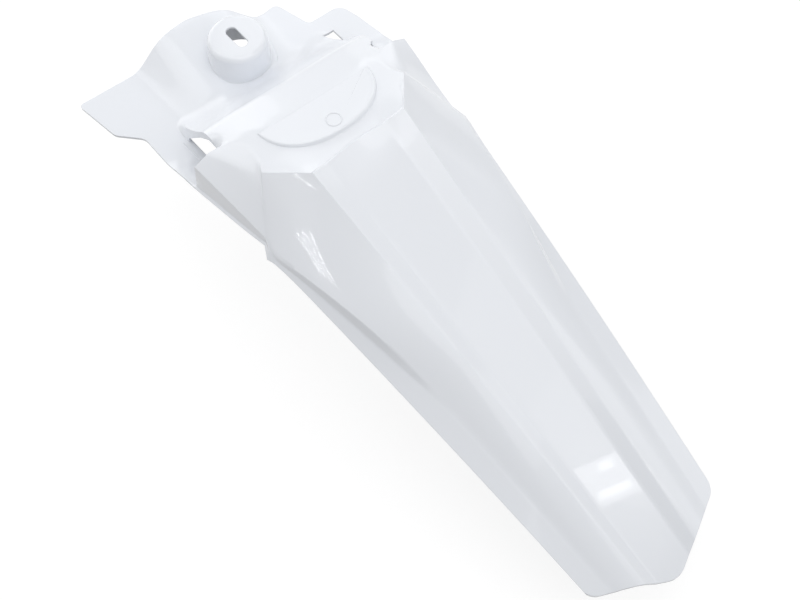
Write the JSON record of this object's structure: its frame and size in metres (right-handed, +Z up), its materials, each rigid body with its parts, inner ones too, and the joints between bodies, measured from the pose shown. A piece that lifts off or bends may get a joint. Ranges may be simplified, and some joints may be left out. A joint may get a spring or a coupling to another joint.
{
  "type": "motorcycle rear fender",
  "caption": "Moulded rear fender: a wide shallow tail with a sunk centre channel and side flanges, a raised seat pad, and a front plate with a slotted mounting boss.",
  "frame": {"origin": "centre of the flat top face of the mounting boss, on the axis of its slot", "axes": "+Z up along the boss axis, +Y forward along the fender from the tail to the front plate, +X to the right seen from behind"},
  "size_m": [0.2764, 0.69, 0.2149],
  "materials": {
    "shell": "glossy cool white moulded plastic"
  },
  "bodies": {
    "root": {"rear_fender": "shell"}
  },
  "joints": []
}
